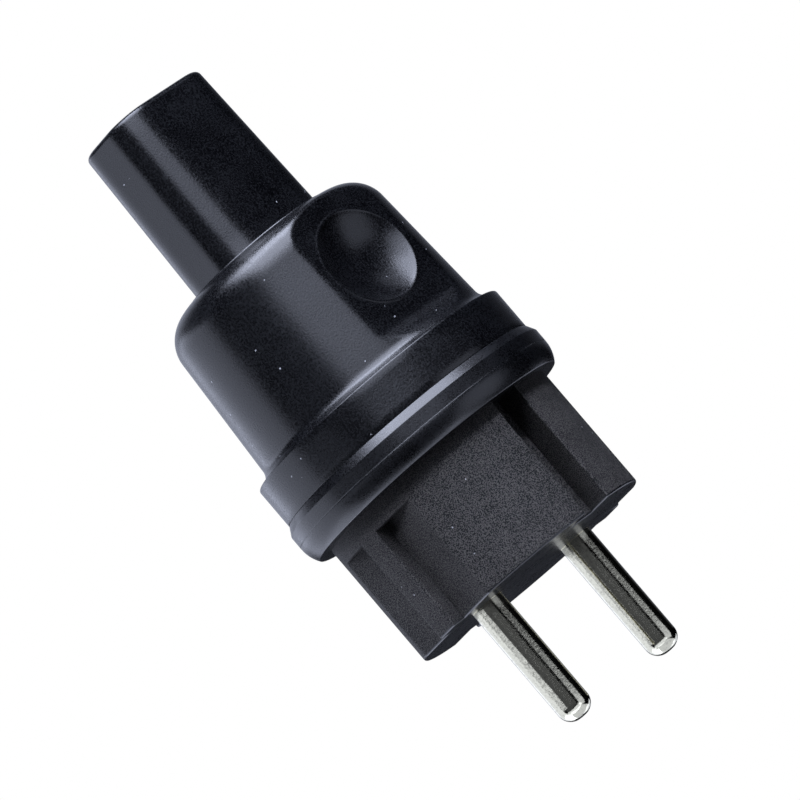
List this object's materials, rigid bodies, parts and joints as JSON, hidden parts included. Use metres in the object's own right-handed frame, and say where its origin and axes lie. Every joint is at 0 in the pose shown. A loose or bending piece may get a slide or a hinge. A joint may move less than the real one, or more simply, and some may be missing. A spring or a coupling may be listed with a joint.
{
  "type": "two-pin power plug",
  "caption": "Rewirable mains plug with a rubber hood, drafted cable sleeve, thumb dishes, contoured slotted insert and round contact pins.",
  "frame": {"origin": "centre of the cable sleeve's end, on the floor plane", "axes": "+Z along the plug's axis towards the pin tips, X along the line through the pins, Y through the thumb dishes"},
  "size_m": [0.0416, 0.0416, 0.0973],
  "materials": {
    "hood_rubber": "smooth black rubber with a soft sheen",
    "carrier_plastic": "fine-grained matte black moulding",
    "pin_nickel": "nickel plate on brass",
    "inner_plastic": "plain ivory moulding",
    "screw_steel": "zinc-plated steel"
  },
  "bodies": {
    "root": {"hood": "hood_rubber", "pin_carrier": "carrier_plastic", "pin_left": "pin_nickel", "pin_right": "pin_nickel", "pin_retainer": "inner_plastic", "retainer_screw": "screw_steel", "terminal_screws": "screw_steel", "cord_clamp": "inner_plastic", "clamp_screws": "screw_steel"}
  },
  "joints": []
}
